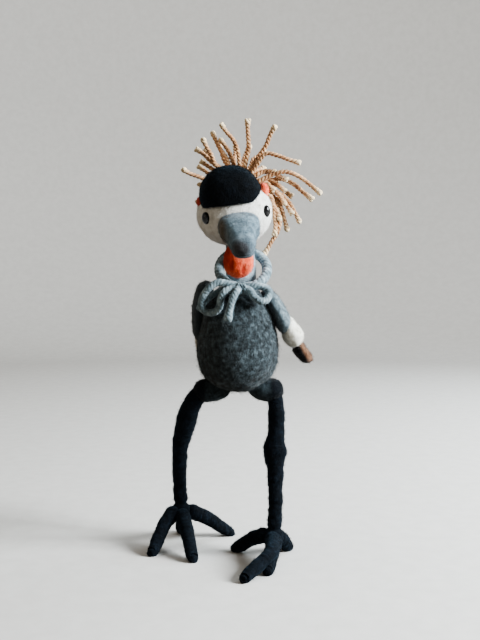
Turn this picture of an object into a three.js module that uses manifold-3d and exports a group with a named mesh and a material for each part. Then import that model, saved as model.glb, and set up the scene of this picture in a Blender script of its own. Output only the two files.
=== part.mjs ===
// A needle-felted wool crane toy that stands on its own two feet.
// Millimetres, +Z up. The toy faces -Y and its own left side is +X.
import * as THREE from "three";
import { mergeVertices } from "three/addons/utils/BufferGeometryUtils.js";
import Module from "manifold-3d";

const wasm = await Module();
wasm.setup();

// Driving dimensions
const GAP = 0.3;
const TORSO = { centre: [-0.4, 0, 188], halfWidth: 34.3, halfDepth: 34, halfHeight: 47 };
const TORSO_SQUARENESS = 2.4;
const TORSO_PEAR = 0.14;
const HEAD_CENTRE = [-3.4, -6, 299];
const HEAD_TURN = { pitch: 14, roll: -7, yaw: 6.5 };
const HEAD = { centre: [0, 0, -4], radii: [32.5, 30, 27] };
const CAP = { centre: [-2.3, -4, 13], radii: [26.2, 26, 25], squareness: 2.6 };
const CAP_EDGE = { point: [-12, -28.5, 9.9], normal: [0, 0.2, 1] };
const CAP_SIDE_EDGE = { point: [13.5, -24, 9.2], normal: [-0.7, 0, 1] };
const EYE = { spacing: 25.7, forward: -16.4, drop: -1.6, radii: [3.9, 3.2, 5.2], turn: 55 };
const PATCH = {
  left: { centre: [27.3, 4, 12.5], radii: [4.5, 8.5, 6.5] },
  right: { centre: [-26.6, 3.5, 8.3], radii: [4.6, 8.5, 4.9] },
};
const BILL_ROOT = [0.2, -19, -2.5];
const BILL_TIP = [-1, -71.7, -21.7];
const BILL_SPLIT = -3.2;
const WATTLE = { centre: [0.5, -24, 257.4], radii: [12.4, 7.5, 17.2], pear: 0.25 };
const YARN_RADIUS = 4.2;
const BOW_YARN_RADIUS = 3;
const KNOT = { centre: [2.8, -27, 232], radii: [5.8, 5, 5.2] };
const CROWN_ROOT = [11, 33, 12];
const CROWN_PAD = [14, 7, 13];
const STRAND_RADIUS = 2.1;
const STRAND_KNOB_RADIUS = 2.9;
const STRAND_LIFT = 3;
const BACK_STRANDS = 11;
const FOOT_PAD_RADIUS = 8.6;
const TOE_LANDING = 4.4;
const TOE_FLAT = 6;
const TOE_ARCH = 0.045;

// Points as vectors
const vec = (p) => new THREE.Vector3(...p);

// A closed geometry whose shared corners are merged
function welded(geometry) {
  geometry.deleteAttribute("normal");
  geometry.deleteAttribute("uv");
  return mergeVertices(geometry, 1e-4);
}

function toSolid(geometry) {
  const merged = welded(geometry);
  const vertProperties = new Float32Array(merged.attributes.position.array);
  const triVerts = new Uint32Array(merged.index.array);
  return new wasm.Manifold(new wasm.Mesh({ numProp: 3, vertProperties, triVerts }));
}

function toGeometry(solid) {
  const pieces = solid.decompose();
  const largest = pieces.reduce((a, b) => (b.volume() > a.volume() ? b : a));
  const mesh = largest.getMesh();
  const geometry = new THREE.BufferGeometry();
  geometry.setAttribute("position", new THREE.BufferAttribute(new Float32Array(mesh.vertProperties), 3));
  geometry.setIndex(new THREE.BufferAttribute(new Uint32Array(mesh.triVerts), 1));
  return geometry;
}

function joined(solids) {
  return solids.reduce((a, b) => a.add(b));
}

function cutBy(solid, cutters) {
  return cutters.reduce((a, b) => a.subtract(b), solid);
}

// A seeded draw between 0 and 1
function seededDraw(seed) {
  let state = seed;
  return () => {
    state = (state * 1664525 + 1013904223) % 4294967296;
    return state / 4294967296;
  };
}

// Ellipsoid about a centre, turned about Z by a number of degrees. Its plan is squarer as
// squareness rises above 2, and its upper half is slimmer as pear rises above 0.
function ellipsoid(centre, radii, sides, rings, { turn = 0, squareness = 2, pear = 0 } = {}) {
  const geometry = new THREE.SphereGeometry(1, sides, rings);
  geometry.rotateX(Math.PI / 2);
  const position = geometry.attributes.position;
  for (let i = 0; i < position.count; i += 1) {
    const [x, y, z] = [position.getX(i), position.getY(i), position.getZ(i)];
    const ring = Math.max(Math.hypot(x, y), 1e-9);
    const corner = (Math.abs(x / ring) ** squareness + Math.abs(y / ring) ** squareness) ** (-1 / squareness);
    const spread = corner * (1 - pear * z);
    position.setXYZ(i, x * spread, y * spread, z);
  }
  geometry.scale(...radii);
  geometry.rotateZ(THREE.MathUtils.degToRad(turn));
  geometry.translate(...centre);
  return toSolid(geometry);
}

// Distances along a path of a given length where the rings of a rounded rod sit
function ringStops(length, startRound, endRound, steps) {
  const stops = [0, 0.25 * startRound];
  for (let i = 0; i <= steps; i += 1) {
    stops.push(THREE.MathUtils.lerp(startRound, length - endRound, i / steps));
  }
  stops.push(length - 0.25 * endRound, length);
  return stops;
}

// Share of the full radius at a distance from a rounded end
function roundEnd(distance, round) {
  const inside = Math.min(distance / round, 1);
  return Math.sqrt(Math.max(0, 1 - (1 - inside) ** 2));
}

// Rod with rounded ends along a smooth path. radiusAt(t) gives the section's half sizes
// across and along the reference direction at the share t of the length. A grown rod has
// its skin further out by the same amount everywhere.
function rod(points, radiusAt, { sides, steps, reference = [0, 1, 0], grow = 0 }) {
  const curve = new THREE.CatmullRomCurve3(points.map(vec), false, "catmullrom", 0.5);
  const length = curve.getLength();
  const halves = (t) => [radiusAt(t)].flat();
  const startRound = Math.min(Math.max(...halves(0)), length / 3);
  const endRound = Math.min(Math.max(...halves(1)), length / 3);
  const stops = ringStops(length, startRound, endRound, steps);
  const geometry = new THREE.SphereGeometry(1, sides, stops.length - 1);
  const position = geometry.attributes.position;
  const ref = vec(reference);
  stops.forEach((stop, ring) => {
    const t = stop / length;
    const centre = curve.getPointAt(t);
    const tangent = curve.getTangentAt(t);
    const along = ref.clone().addScaledVector(tangent, -ref.dot(tangent)).normalize();
    const across = along.clone().cross(tangent);
    const size = halves(t);
    const round = roundEnd(stop, startRound) * roundEnd(length - stop, endRound);
    const reach = Math.max(0, 1 - (length - stop) / endRound) - Math.max(0, 1 - stop / startRound);
    centre.addScaledVector(tangent, grow * reach);
    for (let side = 0; side <= sides; side += 1) {
      const angle = (2 * Math.PI * side) / sides;
      const point = centre.clone();
      point.addScaledVector(across, -Math.cos(angle) * round * (size[0] + grow));
      point.addScaledVector(along, Math.sin(angle) * round * ((size[1] ?? size[0]) + grow));
      position.setXYZ(ring * (sides + 1) + side, point.x, point.y, point.z);
    }
  });
  return toSolid(geometry);
}

// A value read smoothly from evenly spaced stations
function stations(values) {
  return (t) => {
    const place = Math.min(t, 0.9999) * (values.length - 1);
    const low = Math.floor(place);
    const share = THREE.MathUtils.smoothstep(place - low, 0, 1);
    return THREE.MathUtils.lerp(values[low], values[low + 1], share);
  };
}

// Two station lists read as the two half sizes of a flat section
function flatStations(thickness, chord) {
  const thick = stations(thickness);
  const wide = stations(chord);
  return (t) => [thick(t), wide(t)];
}

// Closed ring of yarn: an ellipse in the plane of two half axes
function yarnRing(centre, halfA, halfB, radius, sides, steps) {
  const geometry = new THREE.TorusGeometry(1, 0.5, sides, steps);
  const position = geometry.attributes.position;
  const across = vec(halfA);
  const down = vec(halfB);
  const facing = across.clone().cross(down).normalize();
  for (let row = 0; row <= sides; row += 1) {
    const roll = (2 * Math.PI * row) / sides;
    for (let step = 0; step <= steps; step += 1) {
      const turn = (2 * Math.PI * step) / steps;
      const point = vec(centre);
      point.addScaledVector(across, Math.cos(turn)).addScaledVector(down, Math.sin(turn));
      const tangent = across.clone().multiplyScalar(-Math.sin(turn));
      tangent.addScaledVector(down, Math.cos(turn)).normalize();
      const outward = tangent.clone().cross(facing);
      point.addScaledVector(outward, Math.cos(roll) * radius);
      point.addScaledVector(facing, Math.sin(roll) * radius);
      position.setXYZ(row * (steps + 1) + step, point.x, point.y, point.z);
    }
  }
  return toSolid(geometry);
}

// Everything on one side of a plane, as a large slab behind the point, against the normal
function slabBehind(point, normal, size = 400) {
  const geometry = new THREE.BoxGeometry(size, size, size);
  geometry.translate(0, 0, -size / 2);
  const turn = new THREE.Quaternion().setFromUnitVectors(vec([0, 0, 1]), vec(normal).normalize());
  geometry.applyQuaternion(turn);
  geometry.translate(...point);
  return toSolid(geometry);
}

// Torso: a pear-shaped felt body, squarer than an ellipsoid and wider low down
function torsoSolid(grow = 0) {
  const geometry = new THREE.SphereGeometry(1, 28, 16);
  geometry.rotateX(Math.PI / 2);
  const position = geometry.attributes.position;
  for (let i = 0; i < position.count; i += 1) {
    const [x, y, z] = [position.getX(i), position.getY(i), position.getZ(i)];
    const ring = Math.hypot(x, y);
    const level = Math.sin((Math.asin(THREE.MathUtils.clamp(z, -1, 1)) * 0.999));
    const spread = (1 - Math.abs(level) ** TORSO_SQUARENESS) ** (1 / TORSO_SQUARENESS);
    const factor = ring < 1e-6 ? 0 : (spread * (1 - TORSO_PEAR * level)) / ring;
    position.setXYZ(
      i,
      TORSO.centre[0] + x * factor * (TORSO.halfWidth + grow),
      TORSO.centre[1] + y * factor * (TORSO.halfDepth + grow),
      TORSO.centre[2] + z * (TORSO.halfHeight + grow),
    );
  }
  return toSolid(geometry);
}

// Neck: a short felt stalk from the shoulders into the back of the chin
function neckSolid(grow = 0) {
  const path = [[1, 1, 226], [2.5, 3, 240], [2, 4, 262], [-2, 2, 284]];
  return rod(path, stations([13, 13, 12, 10.5]), { sides: 16, steps: 8, grow });
}

// Head pieces, all in the head's own frame
const headSolid = (grow = 0) => ellipsoid(HEAD.centre, HEAD.radii.map((r) => r + grow), 24, 16);

function capSolid(grow = 0) {
  const { centre, radii, squareness } = CAP;
  const dome = ellipsoid(centre, radii.map((r) => r + grow), 24, 14, { squareness });
  const slabs = [CAP_EDGE, CAP_SIDE_EDGE].map(({ point, normal }) => {
    const edge = vec(point).addScaledVector(vec(normal).normalize(), -grow);
    return slabBehind(edge.toArray(), normal);
  });
  return cutBy(dome, slabs);
}

function eyeSolid(side, grow = 0) {
  const centre = [side * EYE.spacing, EYE.forward, EYE.drop];
  const radii = EYE.radii.map((r) => r + grow);
  return ellipsoid(centre, radii, 12, 8, { turn: side * EYE.turn });
}

function patchSolid(side, grow = 0) {
  const { centre, radii } = PATCH[side];
  return ellipsoid(centre, radii.map((r) => r + grow), 12, 8);
}

// Bill: a blunt felt cone that points forward and down
function billSolid(grow = 0) {
  const middle = vec(BILL_ROOT).lerp(vec(BILL_TIP), 0.5).toArray();
  const widths = [18, 18, 16.4, 11.8, 9.8, 9];
  const heights = [9.5, 10.5, 12, 11.5, 9.5, 8.5];
  const shape = { sides: 20, steps: 8, reference: [0, 0, 1], grow };
  return rod([BILL_ROOT, middle, BILL_TIP], flatStations(widths, heights), shape);
}

// The mouth runs along the bill, a little under its axis
function mouthPlane() {
  const axis = vec(BILL_TIP).sub(vec(BILL_ROOT)).normalize();
  const up = axis.clone().cross(vec([1, 0, 0])).normalize();
  const point = vec(BILL_ROOT).addScaledVector(up, BILL_SPLIT);
  return { point, up };
}

function billHalf(upper) {
  const { point, up } = mouthPlane();
  const normal = upper ? up : up.clone().negate();
  const edge = point.clone().addScaledVector(normal, GAP / 2);
  return billSolid().subtract(slabBehind(edge.toArray(), normal.toArray()));
}

// Crown: yarn strands that fan out of a pad behind the head. Each row holds the middle of
// the knot at the tip and how far the strand bows off the straight line.
const FAN = [
  [-36.7, 38.4, 31.8, 3],
  [-22.9, 47.3, 46.2, -1],
  [-17.3, 40.8, 55.1, 5],
  [-7.4, 51.3, 58.7, 0],
  [0.7, 44.1, 65.7, -7],
  [-1.2, 53, 51.6, -3],
  [23.6, 46.7, 66.3, -3],
  [45.8, 41, 59.4, -1],
  [62.4, 27.5, 29.1, 17],
  [78.6, 22.8, 1.2, 16],
  [72, 30.2, -4.5, 12],
  [54.8, 36.8, -0.9, 8],
  [58.5, 22.6, -22.1, 13],
  [47.8, 25.9, -28.8, 13],
  [23.5, 7, -44.3, 24],
  [-19.4, 50, 34.8, 1],
  [44, 38, -16, 10],
  [38, 28, 8, 6],
  [41, 34, 22, 4],
  [46.9, 23.8, -4.8, 9],
  [37.3, 17.9, -22.4, 10],
  [50.5, 30.7, 15.2, 9],
  [32.1, 19, -12, 6],
  [52.1, 21.1, -13, 11],
  [40.2, 15.2, -15.8, 10],
  [39.5, 25.2, -9.6, 8],
  [47.9, 30.5, 5.6, 8],
  [34, 10.6, -27.6, 13],
];

function strandSolid(tip, bow) {
  const out = vec(tip).sub(vec(CROWN_ROOT));
  const side = vec([-out.z, 0, out.x]).normalize();
  const root = vec(CROWN_ROOT).addScaledVector(out.clone().normalize(), 4);
  const middle = root.clone().lerp(vec(tip), 0.55).addScaledVector(side, bow);
  middle.y += STRAND_LIFT;
  const end = vec(tip).addScaledVector(vec(tip).sub(middle).normalize(), STRAND_KNOB_RADIUS);
  const reference = Math.abs(out.clone().normalize().y) > 0.75 ? [1, 0, 0] : [0, 1, 0];
  const slim = STRAND_RADIUS;
  const profile = stations([slim, slim, slim, slim, STRAND_KNOB_RADIUS]);
  const path = [root, middle, end].map((point) => point.toArray());
  return rod(path, profile, { sides: 6, steps: 4, reference });
}

// Tips of the strands that lean back, drawn from a seed
function backTips() {
  const draw = seededDraw(21);
  const tips = [];
  for (let i = 0; i < BACK_STRANDS; i += 1) {
    const around = Math.PI * (-0.22 + (1.4 * (i + 0.3 + 0.4 * draw())) / BACK_STRANDS);
    const lean = THREE.MathUtils.degToRad(34 + 26 * draw());
    const reach = 47 + 12 * draw();
    const flat = reach * Math.cos(lean);
    tips.push([
      CROWN_ROOT[0] + flat * Math.cos(around),
      CROWN_ROOT[1] + reach * Math.sin(lean),
      CROWN_ROOT[2] + flat * Math.sin(around),
    ]);
  }
  return tips;
}

function crownSolid() {
  const pad = ellipsoid(CROWN_ROOT, CROWN_PAD, 12, 8);
  const fan = FAN.map(([x, y, z, bow]) => strandSolid([x, y, z], bow));
  const back = backTips().map((tip) => strandSolid(tip, 3));
  return joined([pad, ...fan, ...back]);
}

// Wattle: a soft pouch under the bill
const wattleSolid = () => ellipsoid(WATTLE.centre, WATTLE.radii, 16, 12, { pear: WATTLE.pear });

// Scarf: one loose ring of yarn tied in a bow on the chest
const SCARF_CENTRE = [4.4, -0.5, 247.5];
const SCARF_SIDE = [20.8, 0, 0];
const SCARF_DOWN = [0, -19.4, -15.6];
const scarfRing = (grow = 0) => yarnRing(SCARF_CENTRE, SCARF_SIDE, SCARF_DOWN, YARN_RADIUS + grow, 8, 28);
const knotSolid = (grow = 0) => ellipsoid(KNOT.centre, KNOT.radii.map((r) => r + grow), 12, 8);

const BOW = {
  scarf_end_left: [
    [[0.7, -31, 232.5], [-2, -36.5, 227.7], [-4.5, -38.5, 222.4], [-6.8, -39, 214.6], [-8.6, -39, 204.8]],
  ],
  scarf_end_right: [
    [[-0.8, -28, 232.8], [-10, -23.5, 231.5], [-20, -20, 226.5], [-28.5, -19.5, 219.5], [-34, -20, 213]],
  ],
  scarf_loop_left: [
    [
      [5.5, -27.5, 231.9], [10.2, -30, 229.8], [13.9, -31, 224.3], [19, -31, 221],
      [23.6, -29.5, 221.8], [26.1, -27.5, 226],
    ],
    [
      [5.5, -26.5, 233.6], [13.5, -27, 233.9], [19.5, -26.5, 233.2], [24.1, -26, 231.6],
      [26.4, -26.5, 229], [26.1, -27.5, 226],
    ],
  ],
  scarf_loop_right: [
    [
      [0.1, -27.5, 233.2], [-8.3, -28, 235.4], [-16.3, -29, 236.6], [-23.4, -29.5, 232.8],
      [-28.5, -28.5, 226.1], [-30.8, -27.5, 219.3], [-29.4, -27, 213.8],
    ],
    [
      [0.1, -28.5, 231.8], [-6.5, -31, 231], [-11.6, -33, 228.5], [-14.5, -33, 222],
      [-15.5, -31, 215.9], [-19.2, -29, 211.9], [-24.7, -27, 211.2], [-29.4, -27, 213.8],
    ],
  ],
};

const BOW_RADII = {
  scarf_loop_left: [BOW_YARN_RADIUS, BOW_YARN_RADIUS],
  scarf_loop_right: [BOW_YARN_RADIUS, BOW_YARN_RADIUS],
  scarf_end_left: [2.8, 2.8, 2.9, 3.8],
  scarf_end_right: [2.4, 2.4, 2.8],
};

function bowSolid(name, grow = 0) {
  const halves = BOW[name].map((path) => rod(path, stations(BOW_RADII[name]), { sides: 8, steps: 6, grow }));
  const bend = BOW[name][0].at(-1);
  const ball = BOW_YARN_RADIUS * 1.05 + grow;
  return halves.length === 1 ? halves[0] : joined([...halves, ellipsoid(bend, [ball, ball, ball], 8, 6)]);
}

// Wings: three felt layers each, and every layer comes out from under the one above
const WINGS = {
  left: {
    grey: {
      path: [[22, 1, 229], [33.5, 1, 212], [45, 2, 190.5]],
      thickness: [7, 7.6, 7.4, 6.6],
      chord: [12, 17, 17, 12],
    },
    cream: {
      path: [[37, 3, 209], [46, 4, 194], [52, 5, 179]],
      thickness: [4.5, 6.6, 9, 7.4],
      chord: [11, 14, 14, 10],
    },
    tip: {
      path: [[50, 6, 184], [57, 8, 173], [65, 9, 166]],
      thickness: [5, 6, 5.6, 4.4],
      chord: [8, 10, 9, 6],
    },
  },
  right: {
    grey: {
      path: [[-26.5, 3, 237], [-33.2, 6, 213], [-33.4, 9, 184.5]],
      thickness: [8, 7.2, 6.6, 6.2],
      chord: [11, 16, 16, 12],
    },
    cream: {
      path: [[-31.5, 18, 204], [-32.5, 24, 188], [-32, 29, 172]],
      thickness: [5, 6, 6, 5],
      chord: [10, 14, 13, 9],
    },
    tip: {
      path: [[-32, 30, 180], [-32, 35, 169], [-31.5, 38, 160]],
      thickness: [4, 5, 5, 4],
      chord: [7, 9, 8, 6],
    },
  },
};

function wingLayer(side, layer, grow = 0) {
  const { path, thickness, chord } = WINGS[side][layer];
  return rod(path, flatStations(thickness, chord), { sides: 12, steps: 5, grow });
}

// Tail: a short felt flap behind
function tailSolid() {
  const path = [[0, 20, 172], [0, 36, 158], [0, 50, 142]];
  const shape = { sides: 16, steps: 6, reference: [0, 1, 1] };
  return rod(path, flatStations([13, 15, 15, 11], [6, 6.5, 5, 4]), shape);
}

// Legs: short felt thighs splay to the knees, and wool-wrapped shanks hang to the feet
const LEGS = {
  left: {
    thigh: [[9, -2, 148], [22, -4, 143], [39.5, -5, 141.5]],
    shank: [
      [30, -5, 140], [33, -5.5, 131], [33.4, -7, 110], [32, -9, 91],
      [32.4, -14, 64], [32.2, -20, 42], [31.2, -22, 22],
    ],
    shankRadii: [6.6, 7, 7.4, 9.9, 7, 6.2, 5.8, 6.3],
    pad: [30.8, -22, 18],
    toes: [
      [[27.5, -22, 20], [-6.2, -8], 0],
      [[30, -25, 18], [4.6, -89], 9],
      [[32, -25, 18], [23.7, -73], 1],
      [[33, -21, 18], [46.6, -1], 0],
    ],
  },
  right: {
    thigh: [[-7, -2, 147], [-20, -4, 142.5], [-39, -5, 141.5]],
    shank: [
      [-28, -4, 140], [-35.5, -4, 136.5], [-41, -3, 127.5], [-45.4, 1, 113.9],
      [-51.4, 9, 90], [-52.4, 14, 68], [-52.3, 18, 47.8], [-51.7, 19, 34],
    ],
    shankRadii: [7.2, 7.8, 9, 7.6, 6.6, 6.2, 5.9, 6.8],
    pad: [-51.5, 18.5, 29],
    toes: [
      [[-55, 16, 31.5], [-76, -24], -2],
      [[-51, 14, 29], [-37.4, -40], 0],
      [[-47.5, 19, 30], [-3.8, 39], 0],
      [[-51.5, 21, 28], [-53, 50], 0],
    ],
  },
};

const shankSolid = (side, grow = 0) =>
  rod(LEGS[side].shank, stations(LEGS[side].shankRadii), { sides: 12, steps: 14, grow });
const thighSolid = (side) =>
  rod(LEGS[side].thigh, stations([8, 10, 10.6]), { sides: 14, steps: 5 });

// A toe leaves the pad, arches, and lands flat on the last stretch before its tip. Its arch
// may bend to its own left by a number of millimetres.
function toePath([root, [tipX, tipY], bend]) {
  const start = vec(root);
  const tip = vec([tipX, tipY, TOE_LANDING]);
  const reach = Math.hypot(tip.x - start.x, tip.y - start.y);
  const land = tip.clone().lerp(start, TOE_FLAT / reach).setZ(TOE_LANDING);
  const arch = start.clone().lerp(land, 0.5);
  arch.x += (bend * (tip.y - start.y)) / -reach;
  arch.y += (bend * (tip.x - start.x)) / reach;
  arch.z += TOE_ARCH * reach;
  return [start, arch, land, tip].map((p) => p.toArray());
}

function footSolid(side) {
  const { pad, toes } = LEGS[side];
  const ball = ellipsoid(pad, [FOOT_PAD_RADIUS, FOOT_PAD_RADIUS, FOOT_PAD_RADIUS], 12, 8);
  const shape = { sides: 8, steps: 6, reference: [0.2, 0.1, 1] };
  const fingers = toes.map((toe) => rod(toePath(toe), stations([7.2, 6.3, 5.6, 4.8]), shape));
  return joined([ball, ...fingers]).subtract(slabBehind([0, 0, 0], [0, 0, 1]));
}

// Colours of the wool, yarn and beads
const WOOL = {
  charcoal: [0x4a5458, 0.95],
  grey: [0x7d8f99, 0.95],
  pale: [0x9aa6ab, 0.95],
  white: [0xe9e8e2, 0.95],
  cream: [0xe4e0cb, 0.95],
  brown: [0x5a3c2d, 0.95],
  black: [0x0b0c10, 0.95],
  navy: [0x10161f, 0.9],
  slate: [0x788c9b, 0.95],
  red: [0xd4452b, 0.95],
  straw: [0xc8a583, 0.9],
  bead: [0x050507, 0.15],
};

function node(name, solid, wool, parent) {
  const [color, roughness] = WOOL[wool];
  const material = new THREE.MeshStandardMaterial({ color, roughness, metalness: 0 });
  const mesh = new THREE.Mesh(toGeometry(solid), material);
  mesh.name = name;
  parent.add(mesh);
}

const group = new THREE.Group();
const head = new THREE.Group();
head.position.set(...HEAD_CENTRE);
head.rotation.set(
  THREE.MathUtils.degToRad(HEAD_TURN.pitch),
  THREE.MathUtils.degToRad(HEAD_TURN.roll),
  THREE.MathUtils.degToRad(HEAD_TURN.yaw),
  "ZXY",
);
head.updateMatrix();
group.add(head);

// A head piece seen in the body's frame, and a body piece seen in the head's frame
const inBody = (solid) => solid.transform(head.matrix.elements);
const inHead = (solid) => solid.transform(head.matrix.clone().invert().elements);

const SIDES = { left: 1, right: -1 };
const sideNames = Object.keys(SIDES);
const grownTorso = torsoSolid(GAP);
const grownHead = headSolid(GAP);
const grownCap = capSolid(GAP);
const grownBill = billSolid(GAP);
const grownRing = scarfRing(GAP);
const grownKnot = knotSolid(GAP);
const grownEyes = sideNames.map((side) => eyeSolid(SIDES[side], GAP));
const grownPatches = sideNames.map((side) => patchSolid(side, GAP));

// Torso, tail and neck
node("torso", torsoSolid(), "charcoal", group);
node("tail", cutBy(tailSolid(), [grownTorso]), "charcoal", group);
node("neck", cutBy(neckSolid(), [grownTorso, inBody(grownHead)]), "pale", group);

// Head
node("head", cutBy(headSolid(), [grownCap, ...grownEyes]), "white", head);
node("cap", capSolid(), "black", head);
node("bill_upper", cutBy(billHalf(true), [grownHead, grownCap]), "slate", head);
node("bill_lower", cutBy(billHalf(false), [grownHead]), "slate", head);
for (const side of sideNames) {
  node(`eye_${side}`, eyeSolid(SIDES[side]), "bead", head);
  node(`patch_${side}`, cutBy(patchSolid(side), [grownHead, grownCap]), "red", head);
}
const crownNeighbours = [grownHead, grownCap, ...grownPatches, inHead(grownRing)];
node("crown", cutBy(crownSolid(), crownNeighbours), "straw", head);

// Wattle and scarf
node("wattle", cutBy(wattleSolid(), [inBody(grownHead), inBody(grownBill)]), "red", group);
node("scarf_ring", cutBy(scarfRing(), [grownKnot, neckSolid(GAP), grownTorso]), "grey", group);
node("scarf_knot", knotSolid(), "grey", group);
const underYarn = [grownKnot, grownRing, grownTorso];
for (const name of Object.keys(BOW)) {
  node(name, cutBy(bowSolid(name), underYarn), "grey", group);
  underYarn.push(bowSolid(name, GAP));
}

// Wings
for (const side of sideNames) {
  const grownGrey = wingLayer(side, "grey", GAP);
  const grownCream = wingLayer(side, "cream", GAP);
  node(`wing_${side}_grey`, cutBy(wingLayer(side, "grey"), [grownTorso]), "grey", group);
  node(`wing_${side}_cream`, cutBy(wingLayer(side, "cream"), [grownTorso, grownGrey]), "cream", group);
  const tip = cutBy(wingLayer(side, "tip"), [grownTorso, grownGrey, grownCream]);
  node(`wing_${side}_tip`, tip, "brown", group);
}

// Legs
for (const side of sideNames) {
  const grownShank = shankSolid(side, GAP);
  node(`thigh_${side}`, cutBy(thighSolid(side), [grownTorso, grownShank]), "charcoal", group);
  node(`shank_${side}`, cutBy(shankSolid(side), [grownTorso]), "navy", group);
  node(`foot_${side}`, cutBy(footSolid(side), [grownShank]), "navy", group);
}

// The origin is on the floor, under the middle of the toy
group.updateMatrixWorld(true);
const bounds = new THREE.Box3().setFromObject(group, true);
const middle = bounds.getCenter(new THREE.Vector3());
group.position.set(-middle.x, -middle.y, -bounds.min.z);
group.updateMatrixWorld(true);

export default group;
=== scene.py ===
import math
import bpy
import mathutils
import numpy as np
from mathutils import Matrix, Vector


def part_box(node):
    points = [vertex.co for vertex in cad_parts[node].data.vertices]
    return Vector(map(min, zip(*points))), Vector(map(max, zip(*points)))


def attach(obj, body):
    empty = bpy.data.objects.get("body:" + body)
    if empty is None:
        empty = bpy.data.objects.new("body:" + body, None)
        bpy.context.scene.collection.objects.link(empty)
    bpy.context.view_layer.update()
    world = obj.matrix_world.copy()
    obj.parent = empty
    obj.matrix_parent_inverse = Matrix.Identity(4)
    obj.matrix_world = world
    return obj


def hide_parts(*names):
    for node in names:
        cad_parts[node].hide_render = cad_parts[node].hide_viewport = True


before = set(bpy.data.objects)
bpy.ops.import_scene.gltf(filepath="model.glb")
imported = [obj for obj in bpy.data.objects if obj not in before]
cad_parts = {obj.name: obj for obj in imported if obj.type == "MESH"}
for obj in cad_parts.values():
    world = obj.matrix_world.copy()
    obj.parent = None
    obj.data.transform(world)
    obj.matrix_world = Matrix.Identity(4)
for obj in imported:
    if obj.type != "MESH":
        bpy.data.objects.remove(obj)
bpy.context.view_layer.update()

# Sizes are in millimetres in the maker's frame, whose origin is on the floor under the torso
MM = 0.001
TORSO_CENTRE = np.array([-0.4, 0.0, 188.0])
SHIFT = np.mean(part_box("torso"), axis=0) / MM - TORSO_CENTRE
TORSO_HALF = np.array([34.3, 34.0, 47.0])
TORSO_SQUARENESS = 2.4
TORSO_PEAR = 0.14
HEAD_CENTRE = np.array([-3.4, -6.0, 299.0])
HEAD_PITCH, HEAD_ROLL, HEAD_YAW = np.radians([14.0, -7.0, 6.5])
HEAD_BALL = ([0, 0, -4], [32.5, 30, 27])
CAP_DOME = ([-2.3, -4, 13], [26.2, 26, 25])
CAP_SQUARENESS = 2.6
CAP_RIM = [([-12, -28.5, 9.9], [0, 0.2, 1]), ([13.5, -24, 9.2], [-0.7, 0, 1])]
EYE_PLACE = np.array([25.7, -16.4, -1.6])
EYE_HALF = [3.9, 3.2, 5.2]
EYE_TURN = 55.0
# Middle, half sizes and how dark, which is painted shade on the shaded patch
PATCH_BALLS = {
    "left": ([27.3, 4, 12.5], [4.5, 8.5, 6.5], 0.0),
    "right": ([-26.6, 3.5, 8.3], [4.6, 8.5, 4.9], 0.75),
}
BILL_ROOT = np.array([0.2, -19, -2.5])
BILL_TIP = np.array([-1, -71.7, -21.7])
BILL_WIDTHS = [18, 18, 16.4, 11.8, 9.8, 9]
BILL_HEIGHTS = [9.5, 10.5, 12, 11.5, 9.5, 8.5]
MOUTH_DROP = 3.2
WATTLE = ([0.5, -24, 257.4], [12.4, 7.5, 17.2])
WATTLE_PEAR = 0.25
NECK_PATH = [[1, 1, 226], [2.5, 3, 240], [2, 4, 262], [-2, 2, 284]]
NECK_RADII = [13, 13, 12, 10.5]
SCARF_CENTRE = np.array([4.4, -0.5, 247.5])
SCARF_SIDE = np.array([20.8, 0, 0])
SCARF_DOWN = np.array([0, -19.4, -15.6])
SCARF_RADIUS = 4.2
BOW_RADIUS = 3.0
KNOT_PLACE = np.array([2.8, -27, 232])
CROWN_ROOT = np.array([11.0, 33, 12])
CROWN_PAD = np.array([14, 7, 13])
STRAND_RADIUS = 2.1
STRAND_KNOB = 2.9
STRAND_BACK = 3.0


# Numbers spread over space


def lattice_value(cell, seed):
    """A number from 0 to 1 for each whole cell: its places are mixed by odd multipliers and
    shifts, and the low bits are kept."""
    x, y, z = (cell[..., i].astype(np.int64) for i in range(3))
    h = (x * 374761393 + y * 668265263 + z * 2147483647 + seed * 974634777) & 0xFFFFFFFF
    h = ((h ^ (h >> 13)) * 1274126177) & 0xFFFFFFFF
    return ((h ^ (h >> 16)) & 0xFFFFFF) / float(0xFFFFFF)


def cloud(points, size, seed):
    """Smooth noise from -1 to 1: the eight corner values of the cell round each point are
    blended along each axis by 3t^2 - 2t^3, where t is the place in the cell."""
    p = points / size
    base = np.floor(p)
    t = p - base
    t = t * t * (3 - 2 * t)
    total = 0
    for corner in np.ndindex(2, 2, 2):
        step = np.array(corner)
        weight = np.prod(np.where(step == 1, t, 1 - t), axis=-1)
        total = total + weight * lattice_value(base + step, seed)
    return 2 * total - 1


def lumps(points, size, seed):
    """Two octaves of smooth noise, the second half the size and half the height, over 1.5."""
    return (cloud(points, size, seed) + 0.5 * cloud(points, size / 2, seed + 7)) / 1.5


def stations(values, t):
    """A value read from evenly spaced stations, with 3s^2 - 2s^3 between neighbours."""
    values = np.asarray(values, float)
    place = np.clip(t, 0, 0.9999) * (len(values) - 1)
    low = np.floor(place).astype(int)
    s = place - low
    s = s * s * (3 - 2 * s)
    return values[low] * (1 - s) + values[low + 1] * s


def unit(v):
    """Each vector over its own length."""
    return v / np.maximum(np.linalg.norm(v, axis=-1, keepdims=True), 1e-12)


def run_along(line):
    """The length of the line up to each point."""
    return np.concatenate([[0], np.cumsum(np.linalg.norm(np.diff(line, axis=0), axis=1))])


def read_between(stop, at, line):
    """The line's places at the given stops, in straight steps between its own."""
    return np.stack([np.interp(stop, at, line[:, i]) for i in range(3)], -1)


# Surfaces: every grid has rows from one pole to the other, and its columns go round

SPAN_STEPS = 60
END_ROWS = 8
FINE_LUMPS = 0.35
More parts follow.
